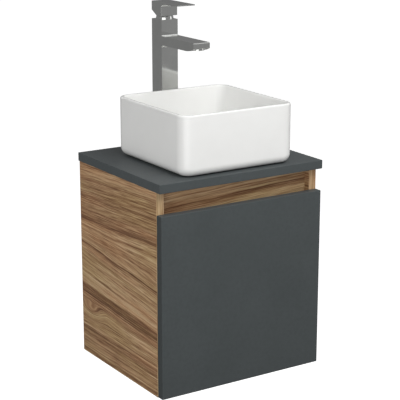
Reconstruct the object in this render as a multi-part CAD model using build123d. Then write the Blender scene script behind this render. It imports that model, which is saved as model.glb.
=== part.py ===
from build123d import *
import math
import os

# Wall-hung vanity unit with a countertop basin, a tall single-lever tap and one pull-out.
# Frame: +X to the right, +Y towards the wall, +Z up, in millimetres.
# The origin is under the middle of the worktop, level with the carcass's lower edge.

# Worktop and carcass
worktop_width = 410.0
worktop_depth = 350.0
worktop_thickness = 19.0
worktop_top = 465.0
worktop_edge = 1.2
board = 18.0
board_edge = 0.6
side_overhang = 3.0
seat_clearance = 0.05

# Front and grip recess
front_thickness = 18.0
front_gap = 1.0
front_lift = 1.0
front_edge = 1.2
grip_height = 48.0
finger_gap = 17.0
grip_rail_height = 90.0

# Back panel, with an opening for pipes and hoses
back_thickness = 4.0
wall_gap = 16.0
groove_depth = 8.0
groove_clearance = 0.15
service_width = 220.0
service_bottom = 200.0
service_corner = 20.0
rear_rail_height = 70.0
rear_rail_bottom = 110.0

# Cam fittings and dowels
cam_radius = 7.5
cam_thickness = 12.5
cam_edge_distance = 24.0
cam_play = 0.2
cam_mouth = 2.0
cam_drive_radius = 1.2
cam_drive_depth = 2.5
cam_bolt_radius = 3.0
cam_bolt_bite = 11.0
cam_neck_radius = 2.1
cam_head_length = 2.5
dowel_radius = 4.0
dowel_in_board = 15.0
dowel_in_side = 12.0
fitting_pitch = 32.0
fitting_setback = 50.0

# Brackets under the worktop
bracket_leg = 26.0
bracket_width = 16.0
bracket_thickness = 2.5
bracket_hole = 15.6
screw_radius = 1.75
screw_length = 14.0
screw_head_radius = 3.5
screw_head = 1.6

# Hangers and wall plates
hanger_width = 18.0
hanger_depth = 40.0
hanger_height = 60.0
hanger_top_gap = 12.0
hanger_round = 3.0
adjuster_radius = 4.0
adjuster_depth = 5.0
adjuster_pitch = 24.0
hook_width = 14.0
hook_thickness = 2.5
hook_drop = 12.0
hook_play = 0.3
hook_gap = 1.0
hook_slot_play = 2.0
wall_plate_inset = 25.0
wall_plate_width = 55.0
wall_plate_height = 64.0
wall_plate_thickness = 2.5
wall_plate_lip = 17.0
wall_hole_radius = 3.25
wall_hole_pitch = 24.0

# Telescopic runners
runner_setback = 6.0
runner_rear_gap = 10.0
runner_height = 45.0
runner_depth = 12.7
runner_sheet = 1.2
runner_centre = 90.0
runner_screw_margin = 30.0
outer_flange = 9.1
middle_web = 3.3
middle_flange = 7.6
inner_flange = 7.0
outer_balls = 6.6
inner_balls = 4.6
ball_diameter = 3.6
ball_play = 0.1
ball_pitch = 70.0
balls_in_row = 3
cage_thickness = 0.8
cage_width = 4.0
cage_margin = 9.0

# Drawer box
box_board = 12.0
box_bottom = 40.0
box_top = 240.0
box_rear_gap = 27.0
box_floor = 6.0
box_floor_height = 10.0
box_groove = 6.0
trap_cutout_half_width = 55.0
trap_cutout_clearance = 27.0
trap_cutout_corner = 30.0
surround_wall = 3.0
surround_lip = 8.0
surround_lip_thickness = 2.0
front_screw_inset = 18.0
front_screw_low = 40.0
front_screw_high = 20.0
front_screw_bite = 10.8
drawer_screw_bite = 8.8
bumper_radius = 4.0
bumper_margin = 25.0
bumper_play = 0.3

# Basin
basin_height = 129.0
basin_corner = 28.0
basin_foot_round = 18.0
basin_wall = 9.0
basin_rim_round = 3.5
basin_front_margin = 12.5
basin_to_tap = 1.5
basin_floor = 22.0
basin_bowl_round = 30.0
basin_bowl_draft = 3.0
basin_recess = 8.0
basin_boss_wall = 14.0
basin_foot_width = 16.0
basin_seal_height = 1.0
basin_seal_inset = 1.5

# Waste
waste_tube_radius = 20.9
waste_bore_radius = 17.5
waste_flange_radius = 32.0
waste_flange_thickness = 2.5
waste_flange_edge = 1.0
waste_mouth_flare = 4.0
waste_mouth_depth = 6.0
waste_hole_clearance = 2.1
waste_seat_play = 1.0
waste_seal_thickness = 1.5
waste_tail = 45.0
waste_nut_height = 10.0
waste_nut_flats = 56.0
nut_chamfer = 1.5
waste_washer_thickness = 3.0
waste_washer_radius = 31.0
spider_depth = 24.0
spider_height = 8.0
spider_boss_radius = 7.0
spider_web = 3.0
spider_root = 1.0
plug_radius = 30.5
plug_thickness = 4.0
plug_dome = 1.6
plug_flare = 4.0
plug_stem_radius = 4.0
plug_stem_tail = 2.0
plug_travel = 6.7
plug_stop_gap = 0.3
plug_ring_inset = 1.5
plug_ring_width = 4.5
plug_ring_thickness = 1.5
stem_clearance = 0.05

# Bottle trap
pipe_radius = 16.0
pipe_wall = 1.5
pipe_clearance = 0.3
tailpipe_flange_inset = 1.4
tailpipe_flange = 2.5
tailpipe_gasket = 0.3
tailpipe_dip = 41.5
trap_outlet_height = 290.0
trap_collar_rise = 42.0
trap_collar_height = 20.0
trap_shoulder_rise = 22.0
trap_shoulder_slope = 6.0
trap_inner_slope = 5.0
trap_skirt_drop = 54.0
trap_radius = 26.0
trap_wall = 2.5
cup_radius = 29.0
cup_wall = 3.0
cup_top_drop = 28.0
cup_height = 57.0
cup_edge = 4.0
cup_inner_edge = 3.0
cup_thread_clearance = 0.3
cup_ribs = 16
cup_rib_radius = 1.8
cup_rib_margin = 6.0
rib_offset = 0.6
slip_nut_height = 18.0
slip_nut_radius = 26.0
slip_nut_lip = 3.0
slip_nut_edge = 2.0
slip_nut_ribs = 12
slip_nut_rib_radius = 2.0
slip_nut_rib_margin = 4.0
thread_clearance = 0.1
outlet_collar_length = 22.0
outlet_engagement = 18.0
outlet_insertion = 32.0
bead_height = 1.2
bead_length = 3.0

# Tap body and spout
tap_width = 42.0
tap_back_margin = 14.0
tap_height = 284.0
tap_seal_height = 1.0
tap_seal_inset = 1.0
tap_edge = 1.2
spout_reach = 126.0
spout_top = 248.5
spout_root_thickness = 20.0
spout_tip_thickness = 11.0
spout_flat_length = 97.0
spout_corner = 5.0
spout_upper_round = 3.0
spout_lower_round = 5.0
inlet_radius = 4.5
inlet_depth = 15.0
inlet_offset = 6.5
shank_radius = 16.0
shank_bore = 13.0
shank_engagement = 10.0
shank_below = 34.0
tap_hole_clearance = 1.5
tap_washer_thickness = 3.0
tap_washer_radius = 24.0
washer_clearance = 0.3
tap_nut_height = 8.0
tap_nut_flats = 40.0

# Aerator
aerator_radius = 14.0
aerator_thread_radius = 12.0
aerator_thread_length = 6.0
aerator_thread_play = 1.0
aerator_edge = 0.8
aerator_setback = 10.0
aerator_proud = 6.5
aerator_clearance = 0.15
aerator_bore = 9.5
aerator_insert_height = 5.0
aerator_insert_setback = 1.5
aerator_insert_clearance = 0.1
aerator_slots = 6
aerator_slot_width = 1.6
aerator_slot_length = 5.7
aerator_slot_radius = 5.2

# Cartridge, dome and lever
cartridge_wall = 3.2
cartridge_clearance = 0.3
cartridge_length = 42.0
cartridge_collar_step = 2.5
cartridge_collar_height = 6.0
ring_nut_height = 8.0
ring_nut_clearance = 0.2
driver_radius = 11.0
driver_bore_clearance = 0.1
driver_end_clearance = 0.3
driver_slot = 8.6
driver_floor = 3.0
driver_below = 12.0
driver_above = 6.0
stem_side = 8.0
stem_top = 24.0
stem_top_clearance = 0.2
stem_bottom = 7.0
pivot_pin_radius = 2.0
pivot_pin_inset = 1.0
dome_margin = 1.5
dome_wall = 2.0
dome_mouth_step = 5.5
lever_gap = 8.0
lever_block_height = 31.0
lever_length = 110.0
lever_root_thickness = 5.0
lever_tip_thickness = 2.5
lever_front_setback = 2.0
lever_fillet = 7.0
lever_pocket_clearance = 0.8
lever_chamfer_run = 20.0
lever_chamfer_rise = 11.0
lever_edge = 0.8
grub_radius = 2.5
grub_length = 10.0
grub_height = 21.0
grub_socket_depth = 3.0
grub_socket_corner = 1.45

# Distance under which two places count as one, for picking edges
same_place = 0.01

# Planes and heights that several pieces share
front_face = -worktop_depth / 2
back_face = worktop_depth / 2
side_front = front_face + front_thickness + front_gap
side_half = worktop_width / 2 - side_overhang
inner_half = side_half - board
carcass_top = worktop_top - worktop_thickness
front_back = front_face + front_thickness
front_top = carcass_top - grip_height
grip_face = front_back + finger_gap
panel_back = back_face - wall_gap
panel_front = panel_back - back_thickness
hanger_x = inner_half - hanger_width / 2
wall_plate_x = hanger_x - wall_plate_inset
tap_y = back_face - tap_back_margin - tap_width / 2
tap_base = worktop_top + tap_seal_height
tap_top = tap_base + tap_height
tap_hole = shank_radius + tap_hole_clearance
cartridge_radius = tap_width / 2 - cartridge_wall - cartridge_clearance
cartridge_collar = cartridge_radius - cartridge_collar_step
cartridge_low = tap_top - cartridge_length - ring_nut_height
dome_radius = tap_width / 2 - dome_margin
dome_mouth_radius = dome_radius - dome_mouth_step
aerator_y = tap_y - tap_width / 2 - spout_reach + aerator_setback
aerator_seat = tap_base + spout_top - spout_tip_thickness
aerator_bottom = aerator_seat - aerator_proud
basin_back = tap_y - tap_width / 2 - basin_to_tap
basin_side = basin_back - front_face - basin_front_margin
basin_y = basin_back - basin_side / 2
basin_foot = worktop_top + basin_seal_height
basin_floor_top = basin_foot + basin_floor
waste_hole = waste_tube_radius + waste_hole_clearance
waste_seat_depth = waste_flange_thickness + waste_seal_thickness
waste_end = carcass_top - waste_tail
trap_collar_top = trap_outlet_height + trap_collar_rise
trap_shoulder = trap_outlet_height + trap_shoulder_rise
trap_bottom = trap_outlet_height - trap_skirt_drop
cup_top = trap_outlet_height - cup_top_drop
cup_bottom = cup_top - cup_height
outlet_collar_end = basin_y + trap_radius + outlet_collar_length
box_half = inner_half - runner_depth
box_back = panel_front - board - box_rear_gap
surround_half = trap_cutout_half_width + surround_wall
surround_nose = basin_y - cup_radius - trap_cutout_clearance - surround_wall
runner_start = side_front + runner_setback
runner_length = box_back - runner_rear_gap - runner_start
handed = (("left", -1), ("right", 1))


def span(x, y, z):
    """Box between two corners, given as (low, high) pairs in any order."""
    low = [min(pair) for pair in (x, y, z)]
    high = [max(pair) for pair in (x, y, z)]
    size = [b - a for a, b in zip(low, high)]
    return Pos(*low) * Box(*size, align=(Align.MIN, Align.MIN, Align.MIN))


def rod(radius, bottom, height, x=0.0, y=0.0):
    """Upright cylinder standing at the height bottom."""
    shape = Cylinder(radius, height, align=(Align.CENTER, Align.CENTER, Align.MIN))
    return Pos(x, y, bottom) * shape


def bar_x(radius, start, end, y, z):
    """Cylinder along X from start to end."""
    shape = Cylinder(radius, abs(end - start))
    return Pos((start + end) / 2, y, z) * Rot(0, 90, 0) * shape


def bar_y(radius, start, end, x, z):
    """Cylinder along Y from start to end."""
    shape = Cylinder(radius, abs(end - start))
    return Pos(x, (start + end) / 2, z) * Rot(90, 0, 0) * shape


def turned(points, y=0.0):
    """Solid of revolution about a vertical axis, from (radius, height) points."""
    face = make_face(Plane.XZ * Polyline(*points, close=True))
    return Pos(0, y, 0) * revolve(face, Axis.Z)


def pressed(outline, half):
    """Solid with a side view drawn in the YZ plane, half wide to each side of the middle."""
    return extrude(Plane.YZ * make_face(Curve() + outline), amount=half, both=True)


def outer_edges(shape, half, skip_below):
    """Edges round a pressed shape's two sides, and the straight ones across its ends."""
    picked = []
    for edge in shape.edges():
        box = edge.bounding_box()
        if edge.center().Z < skip_below:
            continue
        across = box.size.X > 2 * half - same_place and box.size.Y + box.size.Z < same_place
        upright = box.size.Z > same_place and box.size.X + box.size.Y < same_place
        on_side = abs(abs(edge.center().X) - half) < same_place
        if on_side or not (across or upright):
            picked.append(edge)
    return picked


def save(name, solids):
    """One STEP file for a sub-part: a single solid, or a group of like solids."""
    solids = solids if isinstance(solids, list) else [solids]
    single = [part for shape in solids for part in shape.solids()]
    shape = single[0] if len(single) == 1 else Compound(children=single)
    export_step(shape, f"parts/{name}.step")


def joint_rows():
    """Where boards meet the side panels: each cam, with the dowel beside it."""
    rows = []
    for y in (side_front + fitting_setback, panel_front - fitting_setback):
        rows.append({"y": y, "z": board / 2, "dowel": (y + fitting_pitch, board / 2), "cam": "down"})
    grip_middle = carcass_top - grip_rail_height / 2
    rear_middle = rear_rail_bottom + rear_rail_height / 2
    uprights = ((grip_face + board / 2, grip_middle, "back"), (panel_front - board / 2, rear_middle, "front"))
    for y, z, cam in uprights:
        above, below = z + fitting_pitch / 2, z - fitting_pitch / 2
        rows.append({"y": y, "z": above, "dowel": (y, below), "cam": cam})
    return rows


def cam_pocket(row, hand, radius, thickness):
    """Round of a cam, sunk into the board from the side that it is turned from."""
    x = hand * (inner_half - cam_edge_distance)
    if row["cam"] == "down":
        return rod(radius, 0, thickness, x, row["y"])
    face = row["y"] + board / 2 if row["cam"] == "back" else row["y"] - board / 2
    inner = face - thickness if row["cam"] == "back" else face + thickness
    return bar_y(radius, face, inner, x, row["z"])


def dowel_bar(row, hand, radius):
    """Round of a dowel across the joint."""
    joint = hand * inner_half
    return bar_x(radius, joint - hand * dowel_in_board, joint + hand * dowel_in_side, *row["dowel"])


def fitting_holes(row, hand):
    """Holes for one cam, its bolt and its dowel, cut from both boards alike."""
    joint = hand * inner_half
    inside = hand * (inner_half - cam_edge_distance)
    bolt = bar_x(cam_bolt_radius + seat_clearance, inside, joint + hand * cam_bolt_bite, row["y"], row["z"])
    dowel = dowel_bar(row, hand, dowel_radius + seat_clearance)
    return bolt + dowel + cam_pocket(row, hand, cam_radius + seat_clearance, cam_thickness)


def runner_screw_places():
    """Screws through each runner member, along Y."""
    end = runner_start + runner_length
    return [runner_start + runner_screw_margin, (runner_start + end) / 2, end - runner_screw_margin]


def bracket_places():
    """Middles of the corner brackets, along Y."""
    return [grip_face + board + bracket_width, panel_front - 2 * bracket_width - hanger_depth]


def side_panel(hand):
    """Upright board with a groove for the back panel and holes for its fittings."""
    panel = span((hand * inner_half, hand * side_half), (side_front, back_face), (0, carcass_top))
    panel = fillet(panel.edges(), board_edge)
    groove = span(
        (hand * inner_half, hand * (inner_half + groove_depth)),
        (panel_front - groove_clearance, panel_back + groove_clearance),
        (0, carcass_top),
    )
    panel -= groove
    for row in joint_rows():
        panel -= fitting_holes(row, hand)
    reach = screw_length - runner_sheet
    for y in runner_screw_places():
        panel -= bar_x(
            screw_radius + seat_clearance, hand * inner_half, hand * (inner_half + reach), y, runner_centre)
    for y in bracket_places():
        panel -= side_bracket_screw(y, hand, seat_clearance)
    return panel


def bottom_panel():
    """Board between the side panels, with cams let in from below."""
    panel = span((-inner_half, inner_half), (side_front, back_face), (0, board))
    panel -= span(
        (-inner_half, inner_half),
        (panel_front - groove_clearance, panel_back + groove_clearance),
        (board - groove_depth, board),
    )
    for row in joint_rows():
        if row["cam"] == "down":
            for _, hand in handed:
                panel -= fitting_holes(row, hand)
    return panel


def rail(cam, y, bottom, height):
    """Upright rail between the side panels, with its cams on the hidden face."""
    board_solid = span((-inner_half, inner_half), (y, y + board), (bottom, bottom + height))
    for row in joint_rows():
        if row["cam"] == cam:
            for _, hand in handed:
                board_solid -= fitting_holes(row, hand)
    return board_solid


def back_panel():
    """Thin board in the grooves, open from the top for pipes and hoses."""
    half = inner_half + groove_depth - groove_clearance
    foot = board - groove_depth + groove_clearance
    panel = span((-half, half), (panel_front, panel_back), (foot, carcass_top))
    opening = span(
        (-service_width / 2, service_width / 2), (panel_front, panel_back), (service_bottom, carcass_top))
    opening = fillet(opening.edges().filter_by(Axis.Y).group_by(Axis.Z)[0], service_corner)
    panel -= opening
    for _, hand in handed:
        panel -= hook_slot(hand)
    return panel


def dowels():
    """Beech dowels beside the cams."""
    return [dowel_bar(row, hand, dowel_radius) for row in joint_rows() for _, hand in handed]


def cam_locks():
    """Cams with a driver recess, each let into a board with its mouth at the bolt."""
    cams = []
    for row in joint_rows():
        for _, hand in handed:
            cam = cam_pocket(row, hand, cam_radius, cam_thickness)
            x = hand * (inner_half - cam_edge_distance)
            joint = hand * inner_half
            cam -= bar_x(cam_bolt_radius + cam_play, x - hand * cam_mouth, joint, row["y"], row["z"])
            cams.append(cam - cam_pocket(row, hand, cam_drive_radius, cam_drive_depth))
    return cams


def cam_bolts():
    """Bolts in the side panels with their heads held in the cams."""
    bolts = []
    for row in joint_rows():
        for _, hand in handed:
            x = hand * (inner_half - cam_edge_distance)
            joint = hand * inner_half
            shaft = bar_x(cam_bolt_radius, joint, joint + hand * cam_bolt_bite, row["y"], row["z"])
            neck = bar_x(cam_neck_radius, x, joint, row["y"], row["z"])
            head = bar_x(cam_bolt_radius, x, x + hand * cam_head_length, row["y"], row["z"])
            bolts.append(shaft + neck + head)
    return bolts


def worktop():
    """Board with softened edges, a waste hole and a tap hole."""
    top = span((-worktop_width / 2, worktop_width / 2), (front_face, back_face), (carcass_top, worktop_top))
    top = fillet(top.edges(), worktop_edge)
    top -= rod(waste_hole, carcass_top, worktop_thickness, 0, basin_y)
    top -= rod(tap_hole, carcass_top, worktop_thickness, 0, tap_y)
    for _, hand in handed:
        for y in bracket_places():
            top -= top_bracket_screw(y, hand, seat_clearance)
    return top


def brackets():
    """Steel angles that hold the worktop to the side panels."""
    angles = []
    for _, hand in handed:
        wall = hand * inner_half
        for y in bracket_places():
            width = (y - bracket_width / 2, y + bracket_width / 2)
            top_leg = span(
                (wall, wall - hand * bracket_leg), width, (carcass_top - bracket_thickness, carcass_top))
            side_leg = span(
                (wall, wall - hand * bracket_thickness), width, (carcass_top - bracket_leg, carcass_top))
            middle = carcass_top - bracket_hole
            angle = top_leg + side_leg
            reach = wall - hand * bracket_thickness
            angle -= bar_x(screw_radius + seat_clearance, wall, reach, y, middle)
            across = wall - hand * bracket_hole
            angle -= rod(
                screw_radius + seat_clearance, carcass_top - bracket_thickness, bracket_thickness, across, y)
            angles.append(angle)
    return angles


def side_bracket_screw(y, hand, clearance=0.0):
    """Bracket screw into a side panel, or the hole for it."""
    wall = hand * inner_half
    start = wall - hand * bracket_thickness
    return bar_x(screw_radius + clearance, start, start + hand * screw_length, y, carcass_top - bracket_hole)


def top_bracket_screw(y, hand, clearance=0.0):
    """Bracket screw up into the worktop, or the hole for it."""
    x = hand * (inner_half - bracket_hole)
    return rod(screw_radius + clearance, carcass_top - bracket_thickness, screw_length, x, y)


def bracket_screws():
    """Two screws for each bracket."""
    screws = []
    for _, hand in handed:
        inner = hand * (inner_half - bracket_thickness)
        x = hand * (inner_half - bracket_hole)
        height = carcass_top - bracket_hole
        under = carcass_top - bracket_thickness
        for y in bracket_places():
            head = bar_x(screw_head_radius, inner, inner - hand * screw_head, y, height)
            screws.append(side_bracket_screw(y, hand) + head)
            screws.append(
                top_bracket_screw(y, hand) + rod(screw_head_radius, under - screw_head, screw_head, x, y))
    return screws


def hook_levels():
    """Underside of the hanger's hook, and the top of the lip that it rests on."""
    underside = carcass_top - hanger_top_gap - hanger_height / 2
    return underside, underside - hook_play


def hook_slot(hand):
    """Slot in the back panel for one hook."""
    x = hand * hanger_x
    underside, _ = hook_levels()
    half = hook_width / 2 + hook_slot_play
    low, high = underside - hook_slot_play, underside + hook_thickness + hook_slot_play
    return span((x - half, x + half), (panel_front, panel_back), (low, high))


def hangers():
    """Hanger housings in the upper rear corners, each with its steel hook."""
    made = []
    underside, _ = hook_levels()
    plate_face = back_face - wall_plate_thickness
    for _, hand in handed:
        x = hand * hanger_x
        top = carcass_top - hanger_top_gap
        front = panel_front - hanger_depth
        sides = (x - hanger_width / 2, x + hanger_width / 2)
        housing = span(sides, (front, panel_front), (top - hanger_height, top))
        housing = fillet(housing.edges().filter_by(Axis.X), hanger_round)
        for up in (-1, 1):
            height = top - hanger_height / 2 + up * adjuster_pitch / 2
            housing -= bar_y(adjuster_radius, front, front + adjuster_depth, x, height)
        sides = (x - hook_width / 2, x + hook_width / 2)
        tip = plate_face - hook_gap
        arm = span(sides, (panel_front, tip), (underside, underside + hook_thickness))
        lip = span(sides, (tip - hook_thickness, tip), (underside - hook_drop, underside + hook_thickness))
        made.append(housing + arm + lip)
    return made


def wall_plates():
    """Steel plates screwed to the wall, with a raised lip that the hooks drop behind."""
    plates = []
    _, lip_top = hook_levels()
    bottom = lip_top - wall_plate_height
    shelf = lip_top - wall_plate_lip
    hook_back = back_face - wall_plate_thickness - hook_gap - hook_thickness
    lip_y = hook_back - hook_play - wall_plate_thickness
    for _, hand in handed:
        x = hand * wall_plate_x
        sides = (x - wall_plate_width / 2, x + wall_plate_width / 2)
        plate = span(sides, (back_face - wall_plate_thickness, back_face), (bottom, shelf))
        plate += span(sides, (lip_y, back_face), (shelf - wall_plate_thickness, shelf))
        plate += span(sides, (lip_y, lip_y + wall_plate_thickness), (shelf - wall_plate_thickness, lip_top))
        for z in wall_hole_heights():
            plate -= bar_y(wall_hole_radius, back_face - 2 * wall_plate_thickness, back_face, x, z)
        plates.append(plate)
    return plates


def wall_hole_heights():
    """Heights of the two screw holes in each wall plate, lower then upper."""
    _, lip_top = hook_levels()
    upright = (lip_top - wall_plate_height, lip_top - wall_plate_lip - wall_plate_thickness)
    middle = sum(upright) / 2
    return middle - wall_hole_pitch / 2, middle + wall_hole_pitch / 2


def channel(web, tips, half_height):
    """Rolled steel channel lying along Y, given by its web's face and its flanges' tips."""
    inside = 1 if tips > web else -1
    y = (runner_start, runner_start + runner_length)
    shape = span((web, tips), y, (runner_centre - half_height, runner_centre + half_height))
    gap = half_height - runner_sheet
    return shape - span((web + inside * runner_sheet, tips), y, (runner_centre - gap, runner_centre + gap))


def runner_sizes():
    """Half heights of the three nested members, spaced by their balls."""
    row = ball_diameter + 2 * ball_play + runner_sheet
    outer = runner_height / 2
    return outer, outer - row, outer - 2 * row


def runner_member(kind, hand):
    """One member of a runner: on the side panel, in the middle, or on the drawer."""
    outer, middle, inner = runner_sizes()
    wall = inner_half
    if kind == "outer":
        member = channel(hand * wall, hand * (wall - outer_flange), outer)
        for y in runner_screw_places():
            member -= bar_x(
                screw_radius + seat_clearance, hand * wall, hand * (wall - runner_sheet), y, runner_centre)
        return member
    if kind == "middle":
        web = wall - middle_web
        return channel(hand * web, hand * (web - middle_flange), middle)
    member = channel(hand * box_half, hand * (box_half + inner_flange), inner)
    for y in runner_screw_places():
        member -= bar_x(
            screw_radius + seat_clearance, hand * box_half, hand * (box_half + runner_sheet), y,
            runner_centre)
    return member


def ball_rows():
    """Each row of balls: its side, and the place of its middle across the runner and in height."""
    outer, middle, _ = runner_sizes()
    reach = runner_sheet + ball_play + ball_diameter / 2
    rows = []
    for _, hand in handed:
        for up in (-1, 1):
            rows.append((hand * (inner_half - outer_balls), runner_centre + up * (outer - reach)))
            rows.append((hand * (box_half + inner_balls), runner_centre + up * (middle - reach)))
    return rows


def ball_places():
    """Balls along a row, held at their pitch about the runner's middle."""
    middle = runner_start + runner_length / 2
    return [middle + (step - (balls_in_row - 1) / 2) * ball_pitch for step in range(balls_in_row)]


def runner_balls():
    """Balls between the members."""
    return [Pos(x, y, z) * Sphere(ball_diameter / 2) for x, z in ball_rows() for y in ball_places()]


def runner_cages():
    """Pierced strips that keep the balls at their pitch."""
    places = ball_places()
    ends = (places[0] - cage_margin, places[-1] + cage_margin)
    cages = []
    for x, z in ball_rows():
        cage = span(
            (x - cage_width / 2, x + cage_width / 2), ends, (z - cage_thickness / 2, z + cage_thickness / 2))
        for y in places:
            cage -= rod(ball_diameter / 2 + ball_play, z - cage_thickness, 2 * cage_thickness, x, y)
        cages.append(cage)
    return cages


def runner_screws():
    """Screws that hold the cabinet members, with flat heads inside the channel."""
    screws = []
    for _, hand in handed:
        face = hand * (inner_half - runner_sheet)
        for y in runner_screw_places():
            shaft = bar_x(screw_radius, face, face + hand * screw_length, y, runner_centre)
            head = bar_x(screw_head_radius, face, face - hand * screw_head, y, runner_centre)
            screws.append(shaft + head)
    return screws


def basin_outline(inset):
    """Rounded square of the basin, drawn in by inset."""
    side = basin_side - 2 * inset
    return RectangleRounded(side, side, max(basin_corner - inset, 2))


def basin():
    """Square ceramic bowl with upright walls, a rounded foot and a hollow underside."""
    body = extrude(basin_outline(0), basin_height)
    body = fillet(body.edges().group_by(Axis.Z)[0], basin_foot_round)
    bowl = extrude(basin_outline(basin_wall), -(basin_height - basin_floor), taper=basin_bowl_draft)
    bowl = Pos(0, 0, basin_height) * bowl
    bowl = fillet(bowl.edges().group_by(Axis.Z)[0], basin_bowl_round)
    body -= bowl
    body = fillet(body.edges().group_by(Axis.Z)[-1], basin_rim_round)
    hollow = extrude(basin_outline(basin_foot_round + basin_foot_width), basin_recess)
    boss = Cylinder(waste_hole + basin_boss_wall, basin_recess, align=(Align.CENTER, Align.CENTER, Align.MIN))
    body -= hollow - boss
    body -= rod(waste_hole, 0, basin_floor)
    body -= rod(waste_flange_radius + waste_seat_play, basin_floor - waste_seat_depth, waste_seat_depth)
    return Pos(0, basin_y, basin_foot) * body


def basin_seal():
    """Flat sealing ring under the basin's foot."""
    inset = basin_foot_round + basin_seal_inset
    ring = extrude(basin_outline(inset), basin_seal_height)
    ring -= extrude(basin_outline(inset + basin_foot_width - 2 * basin_seal_inset), basin_seal_height)
    return Pos(0, basin_y, worktop_top) * ring


def waste_body():
    """Flanged waste tube, with a spider that guides the plug's stem."""
    top = basin_floor_top
    under = top - waste_flange_thickness
    mouth = waste_bore_radius + waste_mouth_flare
    points = [
        (waste_bore_radius, waste_end),
        (waste_tube_radius, waste_end),
        (waste_tube_radius, under),
        (waste_flange_radius, under),
        (waste_flange_radius, top - waste_flange_edge),
        (waste_flange_radius - waste_flange_edge, top),
        (mouth, top),
        (waste_bore_radius, top - waste_mouth_depth),
    ]
    body = turned(points, basin_y)
    low = top - spider_depth - spider_height
    spider = rod(spider_boss_radius, low, spider_height, 0, basin_y)
    reach = waste_bore_radius + spider_root
    spider += span(
        (-reach, reach), (basin_y - spider_web / 2, basin_y + spider_web / 2), (low, low + spider_height))
    spider += span(
        (-spider_web / 2, spider_web / 2), (basin_y - reach, basin_y + reach), (low, low + spider_height))
    spider -= rod(plug_stem_radius + stem_clearance, low, spider_height, 0, basin_y)
    return body + spider


def waste_ring(bottom, height, radius):
    """Flat ring round the waste tube."""
    ring = rod(radius, bottom, height, 0, basin_y)
    return ring - rod(waste_tube_radius + seat_clearance, bottom, height, 0, basin_y)


def waste_seal():
    """Rubber ring between the flange and the basin."""
    seat = basin_floor_top - waste_seat_depth
    return waste_ring(seat, waste_seal_thickness, waste_flange_radius)


def waste_washer():
    """Rubber ring under the worktop."""
    return waste_ring(carcass_top - waste_washer_thickness, waste_washer_thickness, waste_washer_radius)


def hexagon_nut(flats, height, bore, x, y, bottom):
    """Hexagon nut with its corners broken on both faces."""
    corner = flats / math.sqrt(3)
    nut = extrude(RegularPolygon(corner, 6), height)
    round_blank = Cylinder(corner, height, align=(Align.CENTER, Align.CENTER, Align.MIN))
    nut &= chamfer(round_blank.edges(), nut_chamfer)
    nut -= Cylinder(bore, height, align=(Align.CENTER, Align.CENTER, Align.MIN))
    return Pos(x, y, bottom) * nut


def waste_nut():
    """Back nut that draws basin and worktop together."""
    bottom = carcass_top - waste_washer_thickness - waste_nut_height
    return hexagon_nut(
        waste_nut_flats, waste_nut_height, waste_tube_radius + seat_clearance, 0, basin_y, bottom)


def waste_plug():
    """Domed cap on a stem, shown open: pressing it closes the waste."""
    bottom = basin_floor_top + plug_travel + plug_stop_gap + plug_ring_thickness
    stem_low = basin_floor_top - spider_depth - spider_height - plug_stem_tail
    flare_low = bottom - plug_ring_thickness
    rim = bottom + plug_thickness - plug_dome
    points = [
        (0, rim),
        (0, stem_low),
        (plug_stem_radius, stem_low),
        (plug_stem_radius, flare_low),
        (plug_stem_radius + plug_flare, bottom),
        (plug_radius, bottom),
        (plug_radius, rim),
    ]
    ball = (plug_radius**2 + plug_dome**2) / (2 * plug_dome)
    dome = Pos(0, basin_y, rim + plug_dome - ball) * Sphere(ball)
    crown = rod(plug_radius, rim, plug_dome, 0, basin_y)
    return turned(points, basin_y) + (dome & crown)


def plug_ring():
    """Rubber ring under the plug's cap, which closes on the flange."""
    low = basin_floor_top + plug_travel + plug_stop_gap
    outer = plug_radius - plug_ring_inset
    ring = rod(outer, low, plug_ring_thickness, 0, basin_y)
    return ring - rod(outer - plug_ring_width, low, plug_ring_thickness, 0, basin_y)


def tailpipe():
    """Flanged pipe from the waste down into the trap's water."""
    top = waste_end - tailpipe_gasket
    low = trap_outlet_height - tailpipe_dip
    inner = pipe_radius - pipe_wall
    flange = waste_tube_radius - tailpipe_flange_inset
    points = [
        (inner, low),
        (pipe_radius, low),
        (pipe_radius, top - tailpipe_flange),
        (flange, top - tailpipe_flange),
        (flange, top),
        (inner, top),
    ]
    return turned(points, basin_y)


def slip_nut():
    """Slip nut on the Z axis, its lip up, its threads below z = 0."""
    threads = waste_tube_radius + thread_clearance
    bore = pipe_radius + pipe_clearance
    low = slip_nut_lip - slip_nut_height
    points = [
        (threads, low),
        (slip_nut_radius, low),
        (slip_nut_radius, slip_nut_lip - slip_nut_edge),
        (slip_nut_radius - slip_nut_edge, slip_nut_lip),
        (bore, slip_nut_lip),
        (bore, 0),
        (threads, 0),
    ]
    nut = turned(points)
    groove = rod(
        slip_nut_rib_radius, low, slip_nut_height - slip_nut_rib_margin, slip_nut_radius + rib_offset)
    for step in range(slip_nut_ribs):
        nut -= Rot(0, 0, step * 360 / slip_nut_ribs) * groove
    return nut


def trap_nuts():
    """Slip nuts at the waste, at the trap's inlet and at its outlet."""
    flange_low = waste_end - tailpipe_gasket - tailpipe_flange
    upper = Pos(0, basin_y, flange_low) * Rot(180, 0, 0) * slip_nut()
    inlet = Pos(0, basin_y, trap_collar_top) * slip_nut()
    outlet = Pos(0, outlet_collar_end, trap_outlet_height) * Rot(-90, 0, 0) * slip_nut()
    return [upper, inlet, outlet]


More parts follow.
